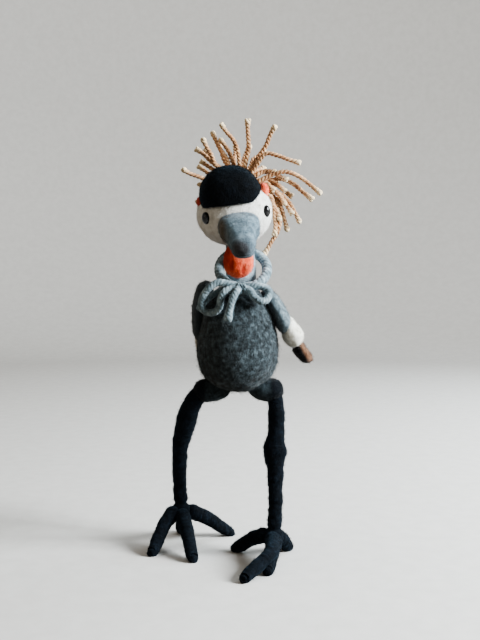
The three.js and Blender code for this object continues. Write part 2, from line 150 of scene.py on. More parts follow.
# Wound wool: pitch and depth, wander in pitches, the ridges' heights and their swell
WIND_PITCH, WIND_DEPTH = 5.2, 0.3
WIDE_WANDER, FINE_WANDER = 0.9, 0.35
LEAST_RIDGE, RIDGE_DRAW, RIDGE_SINK = 0.4, 1.2, 0.4
MEAN_SWELL, SWELL_SPREAD, MOST_SWELL = 0.55, 0.6, 1.2


def round_angles(count):
    """Even angles once round, from 0."""
    return np.linspace(0, 2 * math.pi, count, endpoint=False)


def boxed(angle, n):
    """The radius (|cos a|^n + |sin a|^n)^(-1/n) of a circle pushed towards a square."""
    return (np.abs(np.cos(angle)) ** n + np.abs(np.sin(angle)) ** n) ** (-1 / n)


def rounded(share):
    """A rounded end is sqrt(1 - (1 - d)^2) wide at the share d of its radius, and 1 past it."""
    return np.sqrt(np.maximum(1 - (1 - np.minimum(share, 1)) ** 2, 0))


def ellipsoid(centre, half, rows, cols, turn=0.0, squareness=2.0, pear=0.0):
    """Latitude a and longitude b give sin(a)cos(b), sin(a)sin(b), cos(a). The plan is boxed,
    slimmed by 1 - pear cos(a) and turned about Z, in degrees."""
    a = np.linspace(0, math.pi, rows + 1)[:, None]
    b = round_angles(cols)[None, :]
    spread = np.sin(a) * boxed(b, squareness) * (1 - pear * np.cos(a))
    x = spread * np.cos(b) * half[0]
    y = spread * np.sin(b) * half[1]
    z = np.cos(a) * half[2] + 0 * b
    c, s = math.cos(math.radians(turn)), math.sin(math.radians(turn))
    return np.stack([c * x - s * y, s * x + c * y, z], -1) + np.asarray(centre, float)


def torso_grid(rows=110, cols=150):
    """A pear: the ring at level v has the radius (1 - |v|^n)^(1/n) (1 - pear v), where v runs
    from 1 at the top to -1 at the bottom as a cosine."""
    level = np.cos(np.linspace(0, math.pi, rows + 1))[:, None]
    b = round_angles(cols)[None, :]
    ring = np.maximum(1 - np.abs(level) ** TORSO_SQUARENESS, 0) ** (1 / TORSO_SQUARENESS)
    ring = ring * (1 - TORSO_PEAR * level)
    x, y = ring * np.cos(b), ring * np.sin(b)
    return np.stack([x, y, level + 0 * b], -1) * TORSO_HALF + TORSO_CENTRE


def smooth_path(points, count=400):
    """Uniform Catmull-Rom through the points, with the ends carried on by reflection, and
    read at even steps of its own length. Returns places, directions and the length."""
    p = np.asarray(points, float)
    p = np.vstack([2 * p[0] - p[1], p, 2 * p[-1] - p[-2]])
    spans = len(p) - 3
    s = np.linspace(0, spans, SPAN_STEPS * spans + 1)
    k = np.minimum(s.astype(int), spans - 1)
    t = (s - k)[:, None]
    p0, p1, p2, p3 = p[k], p[k + 1], p[k + 2], p[k + 3]
    m1, m2 = (p2 - p0) / 2, (p3 - p1) / 2
    c = p1 + m1 * t + (3 * (p2 - p1) - 2 * m1 - m2) * t**2 + (2 * (p1 - p2) + m1 + m2) * t**3
    run = run_along(c)
    place = read_between(np.linspace(0, run[-1], count), run, c)
    return place, unit(np.gradient(place, axis=0)), run[-1]


def side_frames(direction, reference):
    """Along: the reference made square to the direction. Across: direction x along."""
    ref = np.broadcast_to(np.asarray(reference, float), direction.shape)
    along = unit(ref - np.sum(ref * direction, -1, keepdims=True) * direction)
    return np.cross(direction, along), along


def tube(centre, across, along, across_half, along_half, side, up):
    """A ring round each centre: side times the half width across, plus up times that along."""
    ring = side[None, :, None] * (across * across_half[:, None])[:, None]
    ring = ring + up[None, :, None] * (along * along_half[:, None])[:, None]
    return centre[:, None] + ring


def carried(path, stop, reference):
    """The middle and the two side directions at each stop along a smooth path."""
    place, direction, length = path
    even = np.linspace(0, length, len(place))
    heading = unit(read_between(stop, even, direction))
    return read_between(stop, even, place), *side_frames(heading, reference)


def rod(points, across_half, along_half, rows, cols, reference=(0, 1, 0), squareness=2.0):
    """A tube along a smooth path, with half widths from stations. Each end is rounded over its
    larger half width, but at most a third of the length, and the section is boxed."""
    path = smooth_path(points)
    length = path[2]
    ends = [min(max(across_half[i], along_half[i]), length / 3) for i in (0, -1)]
    caps = (1 - np.cos(np.linspace(0, math.pi / 2, END_ROWS + 1)))[:-1]
    body = np.linspace(ends[0], length - ends[1], rows)
    stop = np.concatenate([caps * ends[0], body, length - caps[::-1] * ends[1]])
    centre, across, along = carried(path, stop, reference)
    cap = rounded(stop / ends[0]) * rounded((length - stop) / ends[1])
    t = stop / length
    a = round_angles(cols)
    plan = boxed(a, squareness)
    return tube(centre, across, along, stations(across_half, t) * cap, stations(along_half, t) * cap,
                plan * np.cos(a), plan * np.sin(a))


def grid_normals(grid):
    """The cross product of the steps down a column and round a row. At a pole, the mean of
    the nearest ring's."""
    down = np.gradient(grid, axis=0)
    around = np.roll(grid, -1, axis=1) - np.roll(grid, 1, axis=1)
    normal = unit(np.cross(down, around))
    normal[0] = unit(normal[1].mean(0))
    normal[-1] = unit(normal[-2].mean(0))
    return normal


def pushed(grid, height):
    """Every point moved out along its normal by its own height."""
    return grid + grid_normals(grid) * np.asarray(height)[..., None]


def even_poles(rise):
    """A pole is one point, so its row takes the mean of its heights."""
    rise[0], rise[-1] = rise[0].mean(), rise[-1].mean()
    return rise


def felted(grid, size, height, seed):
    """Hand-shaped wool: lumps of one size, with finer ones a third of it."""
    rise = lumps(grid, size, seed) + FINE_LUMPS * lumps(grid, size / 3, seed + 3)
    return pushed(grid, height * even_poles(rise))


def wound(grid, seed):
    """Wool wound round a rod: ridges climb one pitch a turn, and wander so far that they
    cross and merge. Each is a rounded hump, 1 - (2f - 1)^2, of the share f across it, as high
    as its own turn's draw times a slow swell along the rod."""
    cols = grid.shape[1]
    wander = WIDE_WANDER * cloud(grid, 9.0, seed) + FINE_WANDER * cloud(grid, 4.0, seed + 1)
    turn = (np.arange(cols) / cols)[None, :]
    climb = run_along(grid.mean(1))[:, None] / WIND_PITCH + turn + wander
    which = np.floor(climb)
    f = climb - which
    own = lattice_value(np.stack([which, 0 * which, 0 * which], -1), seed)
    swell = np.clip(MEAN_SWELL + SWELL_SPREAD * cloud(grid, 12.0, seed + 5), 0, MOST_SWELL)
    rise = (1 - (2 * f - 1) ** 2) * (LEAST_RIDGE + RIDGE_DRAW * own) * swell - RIDGE_SINK
    return pushed(grid, WIND_DEPTH * even_poles(rise))


def to_body(points):
    """From the head's frame to the body's: rolled about Y, pitched about X, yawed about Z."""
    cr, sr = math.cos(HEAD_ROLL), math.sin(HEAD_ROLL)
    cp, sp = math.cos(HEAD_PITCH), math.sin(HEAD_PITCH)
    cy, sy = math.cos(HEAD_YAW), math.sin(HEAD_YAW)
    roll = np.array([[cr, 0, sr], [0, 1, 0], [-sr, 0, cr]])
    pitch = np.array([[1, 0, 0], [0, cp, -sp], [0, sp, cp]])
    yaw = np.array([[cy, -sy, 0], [sy, cy, 0], [0, 0, 1]])
    return points @ (yaw @ pitch @ roll).T + HEAD_CENTRE


# Meshes


def grid_faces(rows, cols, start=0):
    """Quads between neighbouring rings, and a fan of triangles at each pole. The first and
    last rows are one point each."""
    ring = start + 1 + np.arange((rows - 2) * cols).reshape(rows - 2, cols)
    beside = np.roll(ring, -1, axis=1)
    quads = np.stack([ring[:-1], ring[1:], beside[1:], beside[:-1]], -1).reshape(-1, 4)
    last = start + 1 + (rows - 2) * cols
    top = np.stack([np.full(cols, start), ring[0], beside[0]], -1)
    bottom = np.stack([ring[-1], np.full(cols, last), beside[-1]], -1)
    return quads, np.vstack([top, bottom])


def grid_points(grid):
    """The grid's points in one list, with one point for each pole."""
    flat = grid[1:-1].reshape(-1, grid.shape[-1])
    return np.vstack([grid[0].mean(0)[None], flat, grid[-1].mean(0)[None]])


def new_object(name, data):
    """A new object for some data, in the scene."""
    thing = bpy.data.objects.new(name, data)
    bpy.context.scene.collection.objects.link(thing)
    return thing


def make_piece(name, points, faces, finish, marks, uvs=None, smooth=True):
    """A mesh at the origin, in metres, that rides on the toy's one body. Faces come in blocks
    of one size each, a finish is a material and its slot, and marks are blocks of numbers, one
    for each point, that the material reads."""
    corners = np.concatenate([block.ravel() for block in faces]).astype(np.int32)
    sizes = np.concatenate([np.full(len(block), block.shape[1]) for block in faces])
    starts = np.concatenate([[0], np.cumsum(sizes)[:-1]]).astype(np.int32)
    mesh = bpy.data.meshes.new(name)
    mesh.vertices.add(len(points))
    mesh.vertices.foreach_set("co", ((points + SHIFT) * MM).astype(np.float32).ravel())
    mesh.loops.add(len(corners))
    mesh.loops.foreach_set("vertex_index", corners)
    mesh.polygons.add(len(starts))
    mesh.polygons.foreach_set("loop_start", starts)
    mesh.polygons.foreach_set("use_smooth", np.full(len(starts), smooth))
    mesh.update(calc_edges=True)
    if marks:
        layer = mesh.attributes.new("mark", "FLOAT", "POINT")
        layer.data.foreach_set("value", np.concatenate(marks).astype(np.float32))
    if uvs is not None:
        layer = mesh.uv_layers.new(name="OFBake")
        layer.data.foreach_set("uv", uvs[corners].astype(np.float32).ravel())
    material, slot = finish
    mesh.materials.append(material)
    piece = new_object(name, mesh)
    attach(piece, "root")
    return piece


def skin(name, grids, finish, replaced=(), marks=None):
    """One piece from several closed grids, which may each have a mark at every point."""
    points, quads, fans, values = [], [], [], []
    start = 0
    for i, grid in enumerate(grids):
        q, f = grid_faces(*grid.shape[:2], start)
        quads.append(q)
        fans.append(f)
        points.append(grid_points(grid))
        start += len(points[-1])
        if marks is not None:
            values.append(grid_points(marks[i][..., None])[:, 0])
    piece = make_piece(name, np.vstack(points), quads + fans, finish, values)
    if replaced:
        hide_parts(*replaced)


# Fuzz

SOLE_MARGIN = 1.2
FIBRE_STOPS = np.array([0.0, 0.35, 0.7, 1.0])
FIBRE_RINGS = len(FIBRE_STOPS) - 1
FIBRE_POINTS = 3 * FIBRE_RINGS + 1
FIBRE_SINK = 0.25
FIBRE_TAPER = 0.55
UV_MARGIN, UV_SHARE, UV_SPOT = 0.02, 0.96, 0.0015


def roots_on(grid, count, rng):
    """Random places, as likely in every square millimetre: a cell is drawn by its area, then a
    place in it. Returns place, outward normal, direction down the column, share of the columns
    and rows, and cell."""
    rows, cols = grid.shape[:2]
    down = np.diff(grid, axis=0)
    around = np.roll(grid, -1, axis=1) - grid
    area = np.linalg.norm(np.cross(down, around[:-1]), axis=-1)
    chance = np.cumsum(area.ravel())
    cell = np.searchsorted(chance, rng.random(count) * chance[-1])
    row, col = np.divmod(cell, cols)
    u, v = rng.random(count)[:, None], rng.random(count)[:, None]
    beside = (col + 1) % cols
    top = grid[row, col] * (1 - v) + grid[row, beside] * v
    low = grid[row + 1, col] * (1 - v) + grid[row + 1, beside] * v
    normal = grid_normals(grid)
    n = unit(normal[row, col] * (1 - u) + normal[row + 1, col] * u)
    share = np.stack([(col + v[:, 0]) / cols, (row + u[:, 0]) / (rows - 1)], -1)
    return top * (1 - u) + low * u, n, unit(low - top + 1e-9), share, cell


def fibre_points(place, normal, down, length, rise, width, rng):
    """Bent three-sided spikes. From a root sunk in the wool each runs along the surface by its
    length times s, rises by rise sin(2.2 s) and sways by sin(3 s), and its width falls off as
    1 - 0.55 s up to the point at its tip."""
    count = len(place)
    turn = rng.random(count) * 2 * math.pi
    ahead = np.cos(turn)[:, None] * down + np.sin(turn)[:, None] * np.cross(normal, down)
    sway = np.cross(normal, ahead)[:, None]
    long = length * rng.uniform(0.55, 1.45, count)[:, None, None]
    high = rise * rng.gamma(2.0, 0.5, count)[:, None, None]
    lean = 0.3 * rng.normal(0, 1, count)[:, None, None] * long
    s = FIBRE_STOPS[None, :, None]
    line = (place - FIBRE_SINK * normal)[:, None] + ahead[:, None] * long * s
    line = line + normal[:, None] * (high * np.sin(2.2 * s) + FIBRE_SINK * s) + sway * lean * np.sin(3 * s)
    heading = unit(np.gradient(line, axis=1))
    out = unit(np.cross(heading, sway + 1e-6))
    beside = np.cross(heading, out)
    wide = width * rng.uniform(0.7, 1.3, count)[:, None, None] * (1 - FIBRE_TAPER * s)
    sides = []
    for k in range(3):
        angle = 2 * math.pi * k / 3
        edge = line + wide / 2 * (math.cos(angle) * out + math.sin(angle) * beside)
        sides.append(edge[:, :FIBRE_RINGS])
    body = np.stack(sides, 2).reshape(count, -1, 3)
    return np.concatenate([body, line[:, -1:]], 1).reshape(-1, 3)


def fibre_faces(count):
    """Quads between a fibre's rings, a triangle on each side up to its tip, and one under it."""
    base = np.arange(count)[:, None, None] * FIBRE_POINTS
    k = np.arange(3)
    wall = np.stack([k, (k + 1) % 3, (k + 1) % 3 + 3, k + 3], -1)
    walls = np.vstack([wall + 3 * ring for ring in range(FIBRE_RINGS - 1)])
    last = 3 * (FIBRE_RINGS - 1)
    tip = np.stack([k + last, (k + 1) % 3 + last, 0 * k + FIBRE_POINTS - 1], -1)
    ends = np.vstack([tip, [[2, 1, 0]]])
    return [(base + walls[None]).reshape(-1, 4), (base + ends[None]).reshape(-1, 3)]


def fuzz(name, grids, counts, finish, length, rise, width, seed, marks=None):
    """Loose fibres. None grows on a sole, and one that would pass through the floor lies on it.
    Each grid has a square of the UV map, and a fibre is a small spot there, at its root."""
    rng = np.random.default_rng(seed)
    blocks, uvs, values = [], [], []
    tiles = math.ceil(math.sqrt(len(grids)))
    spot = np.meshgrid(np.linspace(-1, 1, FIBRE_RINGS), [-1, 0, 1], indexing="ij")
    spot = UV_SPOT * np.vstack([np.stack(spot, -1).reshape(-1, 2), [1, 1]])
    for i, (grid, count) in enumerate(zip(grids, counts)):
        rooted = roots_on(grid, count, rng)
        clear = rooted[0][:, 2] > SOLE_MARGIN
        place, normal, down, share, cell = (part[clear] for part in rooted)
        blocks.append(fibre_points(place, normal, down, length, rise, width, rng))
        tile = np.array([i % tiles, i // tiles])
        root = (tile + UV_MARGIN + UV_SHARE * share) / tiles
        uvs.append((root[:, None] + spot[None]).reshape(-1, 2))
        if marks is not None:
            values.append(np.repeat(marks[i].ravel()[cell], FIBRE_POINTS))
    points = np.vstack(blocks)
    points[:, 2] = np.maximum(points[:, 2], 0)
    faces = fibre_faces(len(points) // FIBRE_POINTS)
    make_piece(name, points, faces, finish, values, np.vstack(uvs), smooth=False)


# Yarn

LEAST_YARN_ROWS = 24
PLY_OVERLAP = 0.06


def sweep(middle, size, cols):
    """A closed tube round the given middle points, with ends rounded over one radius. Its
    sections are turned as little as can be from one to the next."""
    heading = unit(np.gradient(middle, axis=0))
    reference = np.eye(3)[np.argmin(np.abs(heading.mean(0)))]
    across, along = side_frames(heading, reference)
    run = run_along(middle)
    half = size * rounded(np.minimum(run, run[-1] - run) / np.maximum(size, 1e-6))
    a = round_angles(cols)
    return tube(middle, across, along, half, half, np.cos(a), np.sin(a))


def yarn(points, radius, plies, pitch, rows_per_turn, cols, reference=(0, 1, 0), turn=0.0, twist=0.42):
    """Twisted yarn: each ply is a tube whose middle is a helix round the path, at the share
    twist of the radius. The ply has the rest and a little more, so that soft plies sink into
    each other."""
    path = smooth_path(points, 1200)
    length = path[2]
    stop = np.linspace(0, length, max(int(length / pitch * rows_per_turn), LEAST_YARN_ROWS))
    centre, across, along = carried(path, stop, reference)
    size = stations(radius, stop / length)
    grids = []
    for ply in range(plies):
        angle = 2 * math.pi * (stop / pitch + ply / plies + turn)
        helix = np.cos(angle)[:, None] * across + np.sin(angle)[:, None] * along
        middle = centre + helix * (twist * size)[:, None]
        grids.append(sweep(middle, (1 + PLY_OVERLAP - twist) * size, cols))
    return grids


# Finishes: bumps are in metres

PRICK_SPACING = 1.1
FELT_SPAN, YARN_SPAN = 0.17, 0.14
FELT_BUMP, YARN_BUMP, BUMP_STRENGTH = 0.0012, 0.0008, 0.8


def feed(tree, socket, value):
    """A socket takes an output of the tree, or a value of its own."""
    if isinstance(value, bpy.types.NodeSocket):
        tree.links.new(value, socket)
    else:
        socket.default_value = value


def node_with(tree, kind, values):
    """A node whose named sockets are fed."""
    node = tree.nodes.new("ShaderNode" + kind)
    for socket, value in values.items():
        feed(tree, node.inputs[socket], value)
    return node


def start_finish(name, roughness, sheen=0.0, tint=(1, 1, 1), specular=0.3):
    """A material whose even values sit on the shader's own sockets."""
    material = bpy.data.materials.new(name)
    material.use_nodes = True
    tree = material.node_tree
    shader = tree.nodes["Principled BSDF"]
    even = {"Roughness": roughness, "Sheen Weight": sheen, "Sheen Roughness": 0.45,
            "Sheen Tint": (*tint, 1), "Specular IOR Level": specular}
    for socket, value in even.items():
        shader.inputs[socket].default_value = value
    return material, tree, shader, tree.nodes.new("ShaderNodeTexCoord").outputs["Object"]


def turned(tree, vector, degrees, stretch):
    """The pattern's place, turned and then drawn out by a scale on each axis."""
    turn = [math.radians(d) for d in degrees]
    values = {"Vector": vector, "Rotation": turn, "Scale": stretch}
    return node_with(tree, "Mapping", values).outputs["Vector"]


def noise(tree, vector, scale, detail=3.0, roughness=0.55):
    """Noise with so many cells a metre."""
    values = {"Vector": vector, "Scale": scale, "Detail": detail, "Roughness": roughness}
    return node_with(tree, "TexNoise", values).outputs["Fac"]


def ramp(tree, value, stops):
    """A blend of colours by a value. Each stop is a place from 0 to 1 and a colour."""
    node = tree.nodes.new("ShaderNodeValToRGB")
    elements = node.color_ramp.elements
    while len(elements) < len(stops):
        elements.new(0.5)
    for element, (at, colour) in zip(elements, stops):
        element.position = at
        element.color = (*colour, 1)
    tree.links.new(value, node.inputs["Fac"])
    return node.outputs["Color"]


def between(tree, value, low, high):
    """The value's place between two bounds, from 0 to 1, with eased ends."""
    node = node_with(tree, "MapRange", {"Value": value, "From Min": low, "From Max": high})
    node.interpolation_type = "SMOOTHSTEP"
    return node.outputs["Result"]


def sum_of(tree, parts):
    """A weighted sum of values."""
    total = 0.0
    for value, weight in parts:
        node = tree.nodes.new("ShaderNodeMath")
        node.operation = "MULTIPLY_ADD"
        for socket, given in zip(node.inputs, (value, weight, total)):
            feed(tree, socket, given)
        total = node.outputs[0]
    return total


def mixed(tree, factor, first, second):
    """Two colours mixed by a factor. Each is an output or four numbers."""
    node = tree.nodes.new("ShaderNodeMix")
    node.data_type = "RGBA"
    for place, given in ((0, factor), (6, first), (7, second)):
        feed(tree, node.inputs[place], given)
    return node.outputs[2]


def marked(tree):
    """The piece's own mark, a number at each point."""
    node = tree.nodes.new("ShaderNodeAttribute")
    node.attribute_name = "mark"
    return node.outputs["Fac"]


def raise_bump(tree, shader, height, distance):
    """The shader's normal leans with the height, of which 1 stands for the distance."""
    values = {"Strength": BUMP_STRENGTH, "Distance": distance, "Height": height}
    tree.links.new(node_with(tree, "Bump", values).outputs["Normal"], shader.inputs["Normal"])


def crossing_fibres(tree, place):
    """Loose wool: noise drawn out twelve times one way, in four turns, and summed."""
    turns = [(20, 35, 0), (70, -25, 60), (-40, 10, 110), (15, 80, 150)]
    parts = []
    for i, turn in enumerate(turns):
        thin = 1500 + 220 * i
        drawn = turned(tree, place, turn, (thin, thin, thin / 12))
        parts.append((noise(tree, drawn, 1.0, 2.0, 0.6), 0.25))
    return sum_of(tree, parts)


def wool_shades(tree, blend, span, shades):
    """Dark, middle and light wool, spread over the blend from 0.5 - span to 0.5 + span."""
    return ramp(tree, between(tree, blend, 0.5 - span, 0.5 + span), list(zip((0, 0.5, 1), shades)))


def felt(name, dark, middle, light, patch, contrast=0.5, sheen=0.25, tint=(1, 1, 1), marks=None,
         under=None):
    """Needle-felted wool. Patches of a few millimetres and crossing fibres move the colour
    from dark to light wool, and the fibres and the needle's pricks shape the surface. Marks
    are colours that the piece's mark brings in where it is above 0, under the one below 0."""
    material, tree, shader, place = start_finish(name, 0.95, sheen, tint, 0.15)
    broad = noise(tree, place, 1000 / patch, 3.0, 0.6)
    fibres = crossing_fibres(tree, place)
    pricks = noise(tree, place, 1000 / PRICK_SPACING, 2.0, 0.5)
    blend = sum_of(tree, [(broad, contrast), (fibres, 1 - contrast)])
    colour = wool_shades(tree, blend, FELT_SPAN, (dark, middle, light))
    if marks is not None:
        speckle = sum_of(tree, [(marked(tree), 1.0), (fibres, 0.6), (broad, 0.5)])
        shade = between(tree, speckle, 0.55, 1.35)
        colour = mixed(tree, shade, colour, ramp(tree, fibres, [(0.3, marks[0]), (0.7, marks[1])]))
    if under is not None:
        speckle = sum_of(tree, [(marked(tree), -1.0), (fibres, 0.4)])
        colour = mixed(tree, between(tree, speckle, 0.35, 1.3), colour, (*under, 1))
    tree.links.new(colour, shader.inputs["Base Color"])
    raise_bump(tree, shader, sum_of(tree, [(fibres, 1.0), (pricks, 0.5), (broad, 0.6)]), FELT_BUMP)
    return material, name


def spun(name, dark, middle, light, tip=None):
    """Spun wool: crossing fibres finer than the ply, and broad noise that changes the shade
    from place to place. The mark brings in the paler tip."""
    material, tree, shader, place = start_finish(name, 0.9, 0.3)
    broad = noise(tree, place, 160, 2.0, 0.5)
    fibres = crossing_fibres(tree, place)
    blend = sum_of(tree, [(broad, 0.45), (fibres, 0.55)])
    colour = wool_shades(tree, blend, YARN_SPAN, (dark, middle, light))
    if tip is not None:
        shade = between(tree, sum_of(tree, [(marked(tree), 1.0), (fibres, 0.2)]), 0.65, 1.1)
        colour = mixed(tree, shade, colour, (*tip, 1))
    tree.links.new(colour, shader.inputs["Base Color"])
    raise_bump(tree, shader, sum_of(tree, [(fibres, 1.0), (broad, 0.2)]), YARN_BUMP)
    return material, name


def glossy_bead(name):
    """Black bead: nearly black, with cloudy depth and fine rubs in the gloss."""
    material, tree, shader, place = start_finish(name, 0.2, specular=0.35)
    depth = ramp(tree, noise(tree, place, 500), [(0.3, (0.002, 0.002, 0.003)), (0.7, (0.012, 0.011, 0.012))])
    tree.links.new(depth, shader.inputs["Base Color"])
    rubs = noise(tree, turned(tree, place, (30, 20, 0), (900, 900, 90)), 1.0)
    gloss = node_with(tree, "MapRange", {"Value": rubs, "To Min": 0.14, "To Max": 0.32})
    tree.links.new(gloss.outputs["Result"], shader.inputs["Roughness"])
    return material, name


CHARCOAL = felt("charcoal_felt", (0.014, 0.017, 0.019), (0.048, 0.062, 0.07), (0.132, 0.174, 0.197), 4.2)
THIGH = felt("thigh_felt", (0.01, 0.014, 0.018), (0.034, 0.048, 0.056), (0.092, 0.124, 0.146), 4.2,
             sheen=0.12, marks=((0.001, 0.0016, 0.0027), (0.006, 0.01, 0.016)))
PALE = felt("pale_felt", (0.13, 0.17, 0.2), (0.24, 0.31, 0.355), (0.4, 0.5, 0.55), 6.0)
WHITE = felt("white_felt", (0.62, 0.61, 0.57), (0.83, 0.825, 0.79), (0.93, 0.93, 0.91), 6.0)
BLACK = felt("black_felt", (0.0006, 0.0008, 0.0012), (0.0014, 0.002, 0.003), (0.0045, 0.007, 0.011),
             6.0, 0.45, 0.05, (0.2, 0.55, 0.9))
# The slate felt's marks are painted shade: dark teal and maroon at the bill's tip and nostrils, and brown on
# its shaded side
SLATE = felt("slate_felt", (0.068, 0.098, 0.12), (0.14, 0.2, 0.243), (0.26, 0.355, 0.415), 6.0, 0.45,
             marks=((0.034, 0.052, 0.062), (0.105, 0.092, 0.098)), under=(0.13, 0.11, 0.085))
# The red felt's marks are painted shade: in the wattle's creases, the bill's shadow on the wattle, and the
# shaded right patch
RED = felt("red_felt", (0.52, 0.055, 0.024), (0.82, 0.15, 0.075), (0.92, 0.27, 0.15), 5.0, 0.45,
           marks=((0.42, 0.04, 0.022), (0.58, 0.07, 0.035)))
# The grey felt's marks are painted shade on the wings' grey layers
GREY = felt("grey_felt", (0.05, 0.068, 0.08), (0.145, 0.19, 0.215), (0.29, 0.365, 0.4), 5.0,
            marks=((0.012, 0.016, 0.02), (0.045, 0.06, 0.072)))
CREAM = felt("cream_felt", (0.66, 0.63, 0.54), (0.87, 0.86, 0.79), (0.94, 0.93, 0.89), 5.0)
BROWN = felt("brown_felt", (0.055, 0.026, 0.015), (0.14, 0.07, 0.04), (0.27, 0.155, 0.095), 4.0,
             marks=((0.001, 0.001, 0.002), (0.008, 0.007, 0.007)))
NAVY = felt("navy_wool", (0.0008, 0.0013, 0.0022), (0.0022, 0.0036, 0.006), (0.009, 0.015, 0.024),
            4.0, 0.4, 0.06, (0.3, 0.65, 1.0))
STRAW = spun("straw_yarn", (0.29, 0.145, 0.072), (0.49, 0.285, 0.155), (0.69, 0.46, 0.285),
             tip=(0.78, 0.65, 0.45))
YARN = spun("grey_yarn", (0.1, 0.14, 0.16), (0.2, 0.27, 0.31), (0.38, 0.48, 0.53))
BEAD = glossy_bead("bead")


# Body


TORSO = felted(torso_grid(), 9.0, 0.8, 1)
skin("torso_felt", [TORSO], CHARCOAL, ["torso"])

TAIL_PATH = [[0, 20, 172], [0, 36, 158], [0, 50, 142]]
TAIL_ACROSS, TAIL_DEEP = [13, 15, 15, 11], [6, 6.5, 5, 4]
TAIL = felted(rod(TAIL_PATH, TAIL_ACROSS, TAIL_DEEP, 70, 64, (0, 1, 1)), 6.0, 0.6, 2)
skin("tail_felt", [TAIL], CHARCOAL, ["tail"])

NECK = felted(rod(NECK_PATH, NECK_RADII, NECK_RADII, 60, 56), 6.0, 0.4, 3)
skin("neck_felt", [NECK], PALE, ["neck"])


# Head


EYE_HOLLOW, EYE_HOLLOW_DEPTH = 8.0, 1.2
CAP_INSET, CAP_SOFTNESS = 0.5, 1.2


def dented(grid, places, radius, depth):
    """Soft hollows: each point sinks along its normal by depth exp(-(d/r)^2), where d is its
    distance from a hollow's middle and r the hollows' radius."""
    normal = grid_normals(grid)
    for place in places:
        d = np.linalg.norm(grid - place, axis=-1, keepdims=True)
        grid = grid - normal * depth * np.exp(-((d / radius) ** 2))
    return grid


EYES = [EYE_PLACE * [side, 1, 1] for side in (1, -1)]
head_ball = ellipsoid(*HEAD_BALL, rows=90, cols=130)
head_ball = dented(head_ball, EYES, EYE_HOLLOW, EYE_HOLLOW_DEPTH)
HEAD = felted(to_body(head_ball), 8.0, 0.55, 4)
skin("head_felt", [HEAD], WHITE, ["head"])


def clamped(grid, point, normal, softness):
    """Points behind a plane are brought near it, and the others ease away: the height h over
    the plane becomes (h + sqrt(h^2 + k^2)) / 2 with a softness k."""
    h = np.sum((grid - point) * normal, -1, keepdims=True)
    eased = (h + np.sqrt(h * h + softness * softness)) / 2
    return grid + (eased - h) * normal


cap_dome = ellipsoid(*CAP_DOME, rows=100, cols=130, squareness=CAP_SQUARENESS)
for rim_point, rim_normal in CAP_RIM:
    rim_normal = unit(np.array(rim_normal))
    cap_dome = clamped(cap_dome, np.array(rim_point) - CAP_INSET * rim_normal, rim_normal, CAP_SOFTNESS)
CAP = felted(to_body(cap_dome), 7.0, 0.4, 5)
skin("cap_felt", [CAP], BLACK, ["cap"])

for label, eye, turn in zip(("left", "right"), EYES, (EYE_TURN, -EYE_TURN)):
    bead = ellipsoid(eye, EYE_HALF, 28, 36, turn)
    skin(f"eye_{label}_bead", [to_body(bead)], BEAD, [f"eye_{label}"])

# Each patch's mark is its painted shade
PATCHES, PATCH_SHADE_MARKS = [], []
for label, (centre, half, dark) in PATCH_BALLS.items():
    patch = felted(to_body(ellipsoid(centre, half, 36, 44)), 4.0, 0.4, 5 + len(PATCHES))
    PATCHES.append(patch)
    PATCH_SHADE_MARKS.append(np.full(patch.shape[:2], dark))
    skin(f"patch_{label}_felt", [patch], RED, [f"patch_{label}"], PATCH_SHADE_MARKS[-1:])

LIP_GAP, LIP_SOFTNESS = 0.15, 1.0
BILL_SQUARENESS = 2.6
NOSTRILS = [np.array([9.9, -36.0, 0.2]), np.array([-9.4, -36.0, 0.4])]
NOSTRIL_RADIUS, NOSTRIL_DEPTH = 2.2, 0.8
# How dark the painted shade in each nostril dimple is, and its radius
NOSTRIL_SHADE_DARK, NOSTRIL_SHADE_RADIUS = 0.95, 2.0
# A spot of painted shade at the bill's tip, where its underside is shaded
TIP_SHADE_SPOT = np.array([-3.9, -71.5, -18.0])
TIP_SHADE_HALF = np.array([8.2, 9.0, 7.4])
TIP_SHADE_DARK = 1.05
# Where the brown painted shade on the bill's shaded right side starts, sideways and forward, and its fades
BROWN_SHADE_SIDE, BROWN_SHADE_SIDE_FADE = -9.0, 6.0
BROWN_SHADE_FRONT, BROWN_SHADE_FRONT_FADE = -25, 15


def nearness(grid, place, half):
    """How near each point is to a place: exp(-d^2), with d in half sizes on each axis."""
    return np.exp(-np.sum(((grid - place) / half) ** 2, axis=-1))


def bill_half(upper):
    """A rod that is cut along the mouth plane, with an eased lip. Its mark is painted shade: dark
    at the tip and in the nostrils above 0, and brown along the right cheek below 0."""
    axis = unit(BILL_TIP - BILL_ROOT)
    up = unit(np.cross(axis, [1, 0, 0]))
    middle = (BILL_ROOT + BILL_TIP) / 2
    path = [BILL_ROOT, middle, BILL_TIP]
    grid = rod(path, BILL_WIDTHS, BILL_HEIGHTS, 90, 96, (0, 0, 1), BILL_SQUARENESS)
    facing = up if upper else -up
    grid = clamped(grid, BILL_ROOT - MOUTH_DROP * up + LIP_GAP * facing, facing, LIP_SOFTNESS)
    if upper:
        grid = dented(grid, NOSTRILS, NOSTRIL_RADIUS, NOSTRIL_DEPTH)
    dark = TIP_SHADE_DARK * nearness(grid, TIP_SHADE_SPOT, TIP_SHADE_HALF)
    for nostril in NOSTRILS:
        dark = dark + NOSTRIL_SHADE_DARK * nearness(grid, nostril, NOSTRIL_SHADE_RADIUS)
    brown_shade = np.clip((BROWN_SHADE_SIDE - grid[..., 0]) / BROWN_SHADE_SIDE_FADE, 0, 1)
    brown_shade = brown_shade * np.clip((BROWN_SHADE_FRONT - grid[..., 1]) / BROWN_SHADE_FRONT_FADE, 0, 1)
    return felted(to_body(grid), 6.0, 0.35, 8), dark - brown_shade * (dark < 0.3)


